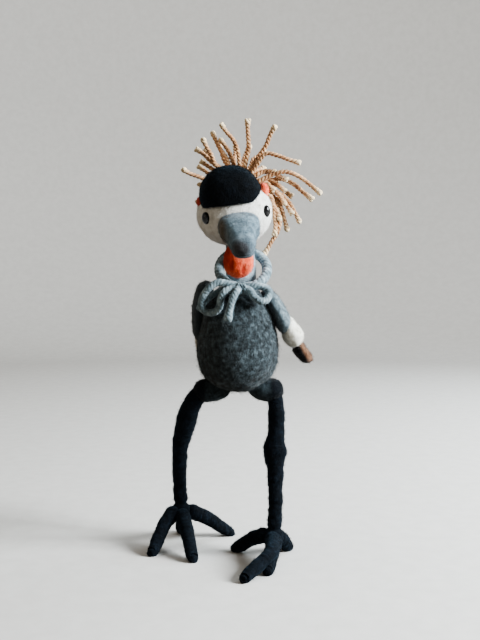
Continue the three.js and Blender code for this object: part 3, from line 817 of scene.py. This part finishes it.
BILL, BILL_SHADE_MARKS = zip(bill_half(True), bill_half(False))
for grid, dark, label in zip(BILL, BILL_SHADE_MARKS, ("upper", "lower")):
    skin(f"bill_{label}_felt", [grid], SLATE, [f"bill_{label}"], [dark])

WATTLE_CREASES = [(-5.8, 251, 7.0), (4.4, 247, 4.5)]
CREASE_HALF, CREASE_DEPTH, CREASE_WANDER = 2.0, 0.6, 0.8
# The bill's painted shadow on the wattle: across, up, half across and half up
WATTLE_SHADE = (-11.0, 259.0, 5.0, 10.0)


def wattle_pouch():
    """A pear that sinks by exp(-((x - c) / w)^2 - ((z - m) / h)^2) round the middle of each
    crease in its front. Its mark is painted shade in the creases, and the bill's painted shadow
    on its upper right side."""
    grid = ellipsoid(*WATTLE, rows=70, cols=90, pear=WATTLE_PEAR)
    x = grid[..., 0] - WATTLE[0][0] + CREASE_WANDER * cloud(grid, 6.0, 90)
    z = grid[..., 2]
    fold = sum(np.exp(-(((x - c) / CREASE_HALF) ** 2) - ((z - m) / h) ** 2) for c, m, h in WATTLE_CREASES)
    fold = fold * (grid[..., 1] < WATTLE[0][1])
    across, up, half_across, half_up = WATTLE_SHADE
    shade = np.exp(-(((x - across) / half_across) ** 2) - ((z - up) / half_up) ** 2)
    return felted(pushed(grid, -CREASE_DEPTH * fold), 5.0, 0.4, 9), 0.8 * fold + 1.1 * shade


WATTLE_GRID, WATTLE_PAINTED_SHADE = wattle_pouch()
skin("wattle_felt", [WATTLE_GRID], RED, ["wattle"], [WATTLE_PAINTED_SHADE])


# Crown


FAN = [
    [-36.7, 38.4, 31.8, 3], [-22.9, 47.3, 46.2, -1], [-17.3, 40.8, 55.1, 5], [-7.4, 51.3, 58.7, 0],
    [0.7, 44.1, 65.7, -7], [-1.2, 53, 51.6, -3], [23.6, 46.7, 66.3, -3], [45.8, 41, 59.4, -1],
    [62.4, 27.5, 29.1, 17], [78.6, 22.8, 1.2, 16], [72, 30.2, -4.5, 12], [54.8, 36.8, -0.9, 8],
    [58.5, 22.6, -22.1, 13], [47.8, 25.9, -28.8, 13], [23.5, 7, -44.3, 24], [-19.4, 50, 34.8, 1],
    [44, 38, -16, 10], [38, 28, 8, 6], [41, 34, 22, 4], [46.9, 23.8, -4.8, 9], [37.3, 17.9, -22.4, 10],
    [50.5, 30.7, 15.2, 9], [32.1, 19, -12, 6], [52.1, 21.1, -13, 11], [40.2, 15.2, -15.8, 10],
    [39.5, 25.2, -9.6, 8], [47.9, 30.5, 5.6, 8], [34, 10.6, -27.6, 13],
]
# The strands that lean back start and spread in half turns round the pad, and lean in degrees
BACK_STRANDS = 11
BACK_START, BACK_TURNS = -0.22, 1.4
BACK_LEAN, BACK_LEAN_SPREAD = 34, 26
BACK_REACH, BACK_REACH_SPREAD = 47, 12
BACK_BOW = 3
STRAND_ROOT = 4
STRAND_KINK = 0.55
KINK_SHARES = np.array([0, 0.6, 1, 1, 1, 0.8, 0])


def seeded_draws(seed, count):
    """The draws of a linear congruential generator, each between 0 and 1."""
    state, draws = seed, []
    for _ in range(count):
        state = (state * 1664525 + 1013904223) % 4294967296
        draws.append(state / 4294967296)
    return draws


def back_tips():
    """Tips of the strands that lean back from the pad, round it and out."""
    draws = seeded_draws(21, 3 * BACK_STRANDS)
    tips = []
    for i in range(BACK_STRANDS):
        around = math.pi * (BACK_START + BACK_TURNS * (i + 0.3 + 0.4 * draws[3 * i]) / BACK_STRANDS)
        lean = math.radians(BACK_LEAN + BACK_LEAN_SPREAD * draws[3 * i + 1])
        reach = BACK_REACH + BACK_REACH_SPREAD * draws[3 * i + 2]
        flat = reach * math.cos(lean)
        tips.append(CROWN_ROOT + [flat * math.cos(around), reach * math.sin(lean), flat * math.sin(around)])
    return tips


def strand_path(tip, bow, rng):
    """Root, middle and end of a strand, bowed sideways and back, with a little kink as soft
    yarn has."""
    tip = np.asarray(tip, float)
    out = tip - CROWN_ROOT
    side = unit(np.array([-out[2], 0, out[0]]))
    root = CROWN_ROOT + STRAND_ROOT * unit(out)
    middle = root + 0.55 * (tip - root) + side * bow + [0, STRAND_BACK, 0]
    end = tip + STRAND_KNOB * unit(tip - middle)
    bend = smooth_path([root, middle, end], len(KINK_SHARES))[0]
    return bend + rng.normal(0, STRAND_KINK, bend.shape) * KINK_SHARES[:, None]


def crown():
    """Two-ply strands with a knobbed tip: the fan's, then those that lean back. The mark is the
    cube of the share of the length, so that only the tips are pale."""
    rng = np.random.default_rng(5)
    tips = [(row[:3], row[3]) for row in FAN] + [(tip, BACK_BOW) for tip in back_tips()]
    grids, marks = [], []
    for tip, bow in tips:
        path = strand_path(tip, bow, rng)
        size = STRAND_RADIUS * rng.uniform(0.92, 1.05)
        knob = [size] * 5 + [0.94 * size, 1.34 * size]
        for ply in yarn(path, knob, 2, 7.0, 9, 9, turn=rng.random()):
            grids.append(to_body(ply))
            marks.append(np.repeat(np.linspace(0, 1, len(ply))[:, None] ** 3, ply.shape[1], 1))
    return grids, marks


CROWN, CROWN_MARKS = crown()
skin("crown_yarn", CROWN, STRAW, ["crown"], CROWN_MARKS)

COIL_RIM = math.radians(82)
COIL_TURNS = 5.2


def crown_pad():
    """Yarn coiled on a felt pad: the coil climbs the pad's back from its rim to its middle,
    its angle falling evenly while it turns."""
    pad = ellipsoid(CROWN_ROOT, CROWN_PAD - 1.2, 40, 56)
    s = np.linspace(0, 1, 90)
    tilt = COIL_RIM * (1 - s) + 0.05
    around = 2 * math.pi * COIL_TURNS * s
    coil = np.stack([np.sin(tilt) * np.cos(around), np.cos(tilt), np.sin(tilt) * np.sin(around)], -1)
    coil = CROWN_ROOT + coil * (CROWN_PAD - 0.6)
    return felted(to_body(pad), 4.0, 0.4, 11), [to_body(g) for g in yarn(coil, [1.4, 1.4], 2, 6.0, 8, 8)]


PAD, COIL = crown_pad()
skin("crown_pad", [PAD] + COIL, STRAW, marks=[0 * g[..., 0] for g in [PAD] + COIL])


# Scarf


def scarf_round():
    """The ring starts and ends in the knot: centre + cos a side + sin a down."""
    a = np.radians(np.linspace(90, 450, 28))[:, None]
    path = SCARF_CENTRE + np.cos(a) * SCARF_SIDE + np.sin(a) * SCARF_DOWN
    return yarn(path, [SCARF_RADIUS, SCARF_RADIUS], 3, 12.0, 12, 16, (1, 0, 0.3), twist=0.33)


BOW = {
    "scarf_end_left": (
        [[0.7, -31, 232.5], [-2, -36.5, 227.7], [-4.5, -38.5, 222.4], [-6.8, -39, 214.6],
         [-8.6, -39, 204.8]], [2.8, 2.8, 2.9, 3.8]),
    "scarf_end_right": (
        [[-0.8, -28, 232.8], [-10, -23.5, 231.5], [-20, -20, 226.5], [-28.5, -19.5, 219.5],
         [-34, -20, 213]], [2.4, 2.4, 2.8]),
    "scarf_loop_left": (
        [[5.5, -27.5, 231.9], [10.2, -30, 229.8], [13.9, -31, 224.3], [19, -31, 221],
         [23.6, -29.5, 221.8], [26.1, -27.5, 226], [26.4, -26.5, 229], [24.1, -26, 231.6],
         [19.5, -26.5, 233.2], [13.5, -27, 233.9], [5.5, -26.5, 233.6]], [BOW_RADIUS, BOW_RADIUS]),
    "scarf_loop_right": (
        [[0.1, -27.5, 233.2], [-8.3, -28, 235.4], [-16.3, -29, 236.6], [-23.4, -29.5, 232.8],
         [-28.5, -28.5, 226.1], [-30.8, -27.5, 219.3], [-29.4, -27, 213.8], [-24.7, -27, 211.2],
         [-19.2, -29, 211.9], [-15.5, -31, 215.9], [-14.5, -33, 222], [-11.6, -33, 228.5],
         [-6.5, -31, 231], [0.1, -28.5, 231.8]], [BOW_RADIUS, BOW_RADIUS]),
}
SCARF = {"scarf_ring": scarf_round()}
for label, (path, radii) in BOW.items():
    SCARF[label] = yarn(path, radii, 3, 8.5, 12, 14, twist=0.3)

# Each turn's middle from side to side, and its lean
KNOT_TURNS = ((-2.9, 0.35), (0.2, -0.1), (3.1, -0.4))


def knot_wraps():
    """Three turns of yarn over a felt core: each is an oval round the X axis, moved sideways
    and leaning."""
    a = np.radians(np.linspace(-30, 330, 24))[:, None]
    grids = []
    for across, lean in KNOT_TURNS:
        path = KNOT_PLACE + np.hstack([across + lean * 4.0 * np.sin(a), -3.4 * np.cos(a), 3.7 * np.sin(a)])
        grids += yarn(path, [2.0, 2.0], 2, 8.0, 12, 10, (1, 0, 0))
    return grids


SCARF["scarf_knot"] = [ellipsoid(KNOT_PLACE, [4.6, 3.6, 3.8], 24, 30)] + knot_wraps()
for label, grids in SCARF.items():
    skin(f"{label}_yarn", grids, YARN, [label])


# Wings


# Each layer is a path with its half thicknesses, and its half widths from front to back
WINGS = {
    "wing_left_grey": ([[22, 1, 229], [33.5, 1, 212], [45, 2, 190.5]], [7, 7.6, 7.4, 6.6], [12, 17, 17, 12]),
    "wing_left_cream": ([[37, 3, 209], [46, 4, 194], [52, 5, 179]], [4.5, 6.6, 9, 7.4], [11, 14, 14, 10]),
    "wing_left_tip": ([[50, 6, 184], [57, 8, 173], [65, 9, 166]], [5, 6, 5.6, 4.4], [8, 10, 9, 6]),
    "wing_right_grey": ([[-26.5, 3, 237], [-33.2, 6, 213], [-33.4, 9, 184.5]], [8, 7.2, 6.6, 6.2],
                        [11, 16, 16, 12]),
    "wing_right_cream": ([[-31.5, 18, 204], [-32.5, 24, 188], [-32, 29, 172]], [5, 6, 6, 5], [10, 14, 13, 9]),
    "wing_right_tip": ([[-32, 30, 180], [-32, 35, 169], [-31.5, 38, 160]], [4, 5, 5, 4], [7, 9, 8, 6]),
}
WING_WOOL = {"grey": GREY, "cream": CREAM, "tip": BROWN}
# The right wing's grey layer, on the shaded side, is darkened evenly by painted shade
RIGHT_WING_PAINTED_SHADE = 0.6
# How dark at the middle, how far down and inward to be 1 darker, and the most
# The wing tips are darker towards the lower end and the body
TIP_DARKENING = (0.55, 9, 4.5, 1.2)
# On the left wing's grey layer the darkening is painted shade near the body and low down
GREY_PAINTED_SHADE = (0.28, 60, 16, 0.8)


def wing_mark(label, grid):
    """Darker colour: on the right wing's grey layer it is an even painted shade. On the left one's
    grey layer it is painted shade that grows evenly towards the lower end and the body, and on the
    tips it grows evenly the same way."""
    side, layer = label.split("_")[1:]
    if layer != "tip" and side == "right":
        return np.full(grid.shape[:2], RIGHT_WING_PAINTED_SHADE)
    middle = grid.reshape(-1, 3).mean(0)
    below, inward = middle[2] - grid[..., 2], middle[0] - grid[..., 0]
    start, down, across, most = TIP_DARKENING if layer == "tip" else GREY_PAINTED_SHADE
    return np.clip(start + below / down + inward / across, 0, most)


WING_GRIDS, WING_MARKS = {}, {}
for i, (label, (path, thick, chord)) in enumerate(WINGS.items()):
    wool = WING_WOOL[label.split("_")[2]]
    grid = felted(rod(path, thick, chord, 60, 64), 5.0, 0.5, 20 + i)
    WING_GRIDS[label] = grid
    WING_MARKS[label] = wing_mark(label, grid)
    mark = None if wool is CREAM else [WING_MARKS[label]]
    skin(f"{label}_felt", [grid], wool, [label], mark)


# Legs


LEGS = {
    "left": {
        "thigh": [[9, -2, 148], [22, -4, 143], [39.5, -5, 141.5]],
        "shank": [[30, -5, 140], [33, -5.5, 131], [33.4, -7, 110], [32, -9, 91], [32.4, -14, 64],
                  [32.2, -20, 42], [31.2, -22, 22]],
        "radii": [6.6, 7, 7.4, 9.9, 7, 6.2, 5.8, 6.3],
        "pad": [30.8, -22, 18],
        "toes": [([27.5, -22, 20], [-6.2, -8], 0), ([30, -25, 18], [4.6, -89], 9),
                 ([32, -25, 18], [23.7, -73], 1), ([33, -21, 18], [46.6, -1], 0)],
    },
    "right": {
        "thigh": [[-7, -2, 147], [-20, -4, 142.5], [-39, -5, 141.5]],
        "shank": [[-28, -4, 140], [-35.5, -4, 136.5], [-41, -3, 127.5], [-45.4, 1, 113.9],
                  [-51.4, 9, 90], [-52.4, 14, 68], [-52.3, 18, 47.8], [-51.7, 19, 34]],
        "radii": [7.2, 7.8, 9, 7.6, 6.6, 6.2, 5.9, 6.8],
        "pad": [-51.5, 18.5, 29],
        "toes": [([-55, 16, 31.5], [-76, -24], -2), ([-51, 14, 29], [-37.4, -40], 0),
                 ([-47.5, 19, 30], [-3.8, 39], 0), ([-51.5, 21, 28], [-53, 50], 0)],
    },
}
THIGH_RADII = [8, 10, 10.6]
TOE_RADII = [7.2, 6.3, 5.6, 4.8]
FOOT_PAD = 8.6
TOE_LANDING = 4.4
TOE_FLAT = 6.0
TOE_ARCH = 0.045


def toe_path(root, tip, bend):
    """From the pad over a low arch, which may bend to its own left, down to a short flat run
    before the tip."""
    start = np.array(root, float)
    end = np.array([*tip, TOE_LANDING])
    ahead = (end - start)[:2]
    reach = math.hypot(*ahead)
    land = end + (start - end) * (TOE_FLAT / reach)
    land[2] = TOE_LANDING
    aside = np.array([-ahead[1], ahead[0]]) * bend / reach
    arch = (start + land) / 2 + [*aside, TOE_ARCH * reach]
    return [start, arch, land, end]


def soled(grid):
    """Everything under the floor is pressed flat onto it."""
    flat = grid.copy()
    flat[..., 2] = np.maximum(flat[..., 2], 0.0)
    return flat


KNEE_REACH, KNEE_FADE = 25.0, 7.0
THIGHS, THIGH_MARKS, SHANKS, FEET = [], [], [], {}
for i, (label, leg) in enumerate(LEGS.items()):
    thigh = felted(rod(leg["thigh"], THIGH_RADII, THIGH_RADII, 60, 56), 6.0, 0.5, 31 + i)
    shank = felted(rod(leg["shank"], leg["radii"], leg["radii"], 240, 44), 8.0, 0.9, 33 + i)
    shank = wound(shank, 35 + i)
    ball = wound(ellipsoid(leg["pad"], [FOOT_PAD] * 3, 50, 50), 37 + i)
    toes = []
    for k, toe in enumerate(leg["toes"]):
        grid = rod(toe_path(*toe), TOE_RADII, TOE_RADII, 120, 36, (0.2, 0.1, 1))
        grid = wound(felted(grid, 6.5, 0.75, 41 + 4 * i + k), 50 + 4 * i + k)
        toes.append(soled(grid))
    THIGHS.append(thigh)
    THIGH_MARKS.append(np.clip((np.abs(thigh[..., 0]) - KNEE_REACH) / KNEE_FADE, 0, 1.1))
    SHANKS.append(shank)
    FEET[label] = [soled(ball)] + toes
    skin(f"thigh_{label}_felt", [thigh], THIGH, [f"thigh_{label}"], THIGH_MARKS[-1:])
    skin(f"shank_{label}_wool", [shank], NAVY, [f"shank_{label}"])
    skin(f"foot_{label}_wool", FEET[label], NAVY, [f"foot_{label}"])


# Fuzz on the pieces of wool, all but the crown pad: fibres on each grid, then their length, rise, width and
# seed


fuzz("torso_fuzz", [TORSO], [11500], CHARCOAL, 3.2, 0.55, 0.16, 61)
fuzz("torso_loose_wool", [TORSO], [7000], CHARCOAL, 5.0, 1.3, 0.11, 62)
fuzz("tail_fuzz", [TAIL], [2500], CHARCOAL, 3.0, 0.6, 0.15, 63)
fuzz("thigh_fuzz", THIGHS, [1500, 1500], THIGH, 2.6, 0.6, 0.14, 64, THIGH_MARKS)
fuzz("neck_fuzz", [NECK], [1500], PALE, 2.4, 0.5, 0.14, 65)
fuzz("head_fuzz", [HEAD], [8000], WHITE, 2.6, 0.45, 0.14, 66)
fuzz("cap_fuzz", [CAP], [6500], BLACK, 2.2, 0.5, 0.13, 67)
fuzz("bill_fuzz", BILL, [3200, 1600], SLATE, 2.2, 0.4, 0.13, 68, BILL_SHADE_MARKS)
fuzz("red_fuzz", [WATTLE_GRID] + PATCHES, [1500, 350, 350], RED, 2.0, 0.45, 0.13, 69,
     [WATTLE_PAINTED_SHADE] + PATCH_SHADE_MARKS)
for layer, wool in WING_WOOL.items():
    labels = [label for label in WINGS if label.endswith(layer)]
    per_layer = {"grey": 2600, "cream": 1800, "tip": 700}[layer]
    marks = None if wool is CREAM else [WING_MARKS[label] for label in labels]
    fuzz(f"wing_{layer}_fuzz", [WING_GRIDS[label] for label in labels], [per_layer] * 2, wool,
         2.8, 0.6, 0.15, 70 + len(layer), marks)
fuzz("shank_fuzz", SHANKS, [4500, 4500], NAVY, 2.4, 0.6, 0.14, 81)
for i, (label, grids) in enumerate(FEET.items()):
    fuzz(f"foot_{label}_fuzz", grids, [500] + [900] * 4, NAVY, 2.2, 0.5, 0.14, 82 + i)
fuzz("crown_fuzz", CROWN, [75] * len(CROWN), STRAW, 2.2, 0.6, 0.1, 84, CROWN_MARKS)
scarf_grids = [g for grids in SCARF.values() for g in grids]
fuzz("scarf_fuzz", scarf_grids, [260] * len(scarf_grids), YARN, 2.4, 0.6, 0.11, 85)


# Floor, light and camera, in metres

FLOOR_FLAT, FLOOR_BEND, FLOOR_TOP, FLOOR_TURNS = 1.5, 0.8, 3.4, 72
# In the maker's frame, in degrees, and in pixels
CAMERA_PLACE = np.array([1.74, -800.0, 259.0])
CAMERA_TILT = 4.0
CAMERA_FOCAL_PX = 919.5
FRAME_HEIGHT_PX = 640


def studio_floor():
    """A pale paper bowl: a flat run, a quarter circle and an upright run, carried round the Z
    axis. It throws no light back onto the toy, so the lamps alone shade it."""
    a = np.radians(np.linspace(-90, 0, 24))
    flat = np.linspace(0, FLOOR_FLAT, 10)[:-1]
    reach = np.concatenate([flat, FLOOR_FLAT + FLOOR_BEND * np.cos(a), [FLOOR_FLAT + FLOOR_BEND]])
    z = np.concatenate([0 * flat, FLOOR_BEND + FLOOR_BEND * np.sin(a), [FLOOR_TOP]])
    around = round_angles(FLOOR_TURNS)
    rings = np.stack([np.outer(reach, np.cos(around)), np.outer(reach, np.sin(around)),
                      np.outer(z, np.ones(FLOOR_TURNS))], -1)
    points = np.vstack([[[0, 0, 0]], rings[1:].reshape(-1, 3)])
    quads, fans = grid_faces(len(rings) + 1, FLOOR_TURNS)
    mesh = bpy.data.meshes.new("studio_floor")
    mesh.from_pydata(points.tolist(), [], quads.tolist() + fans[:FLOOR_TURNS].tolist())
    mesh.polygons.foreach_set("use_smooth", np.ones(len(mesh.polygons), bool))
    material, tree, shader, place = start_finish("floor_paper", 0.9)
    grain = ramp(tree, noise(tree, place, 60, 4.0), [(0.35, (0.63, 0.62, 0.6)), (0.65, (0.67, 0.66, 0.64))])
    tree.links.new(grain, shader.inputs["Base Color"])
    mesh.materials.append(material)
    floor = new_object("studio_floor", mesh)
    floor.visible_diffuse = False


def soft_light(name, place, target, size, power, colour):
    """A square area light at a place that looks at a target."""
    lamp = bpy.data.lights.new(name, "AREA")
    lamp.size = size
    lamp.energy = power
    lamp.color = colour
    holder = new_object(name, lamp)
    holder.location = place
    aim = mathutils.Vector(target) - mathutils.Vector(place)
    holder.rotation_euler = aim.to_track_quat("-Z", "Y").to_euler()


def pale_room(strength, colour):
    """An even light from all sides."""
    world = bpy.data.worlds.new("pale_room")
    world.use_nodes = True
    background = world.node_tree.nodes["Background"]
    background.inputs["Color"].default_value = (*colour, 1)
    background.inputs["Strength"].default_value = strength
    bpy.context.scene.world = world


def set_camera():
    """Level with the neck, tilted a little down, 0.8 m in front of the toy. The lens is the
    focal length over the frame's height, both in pixels, times the sensor's size."""
    lens = bpy.data.cameras.new("camera")
    lens.sensor_width = 36.0
    lens.lens = CAMERA_FOCAL_PX / FRAME_HEIGHT_PX * lens.sensor_width
    camera = new_object("camera", lens)
    camera.location = (CAMERA_PLACE + SHIFT) * MM
    camera.rotation_euler = (math.radians(90 - CAMERA_TILT), 0, 0)
    bpy.context.scene.camera = camera


studio_floor()
soft_light("window", (1.4, -0.38, 0.84), (0.0, 0.0, 0.2), 0.66, 88.0, (0.93, 0.98, 1.0))
soft_light("fill", (-1.1, -1.2, 0.6), (0.0, 0.0, 0.2), 1.2, 3.3, (1.0, 0.84, 0.62))
soft_light("rim", (0.9, 0.8, 0.8), (0.0, 0.0, 0.25), 0.6, 9.0, (0.8, 0.92, 1.0))
soft_light("wall_wash", (0.0, 0.45, 1.9), (0.0, 2.3, 0.5), 1.6, 16.0, (1.0, 0.99, 0.97))
pale_room(0.165, (1.0, 0.91, 0.79))
bpy.context.scene.view_settings.look = "AgX - Medium High Contrast"
set_camera()
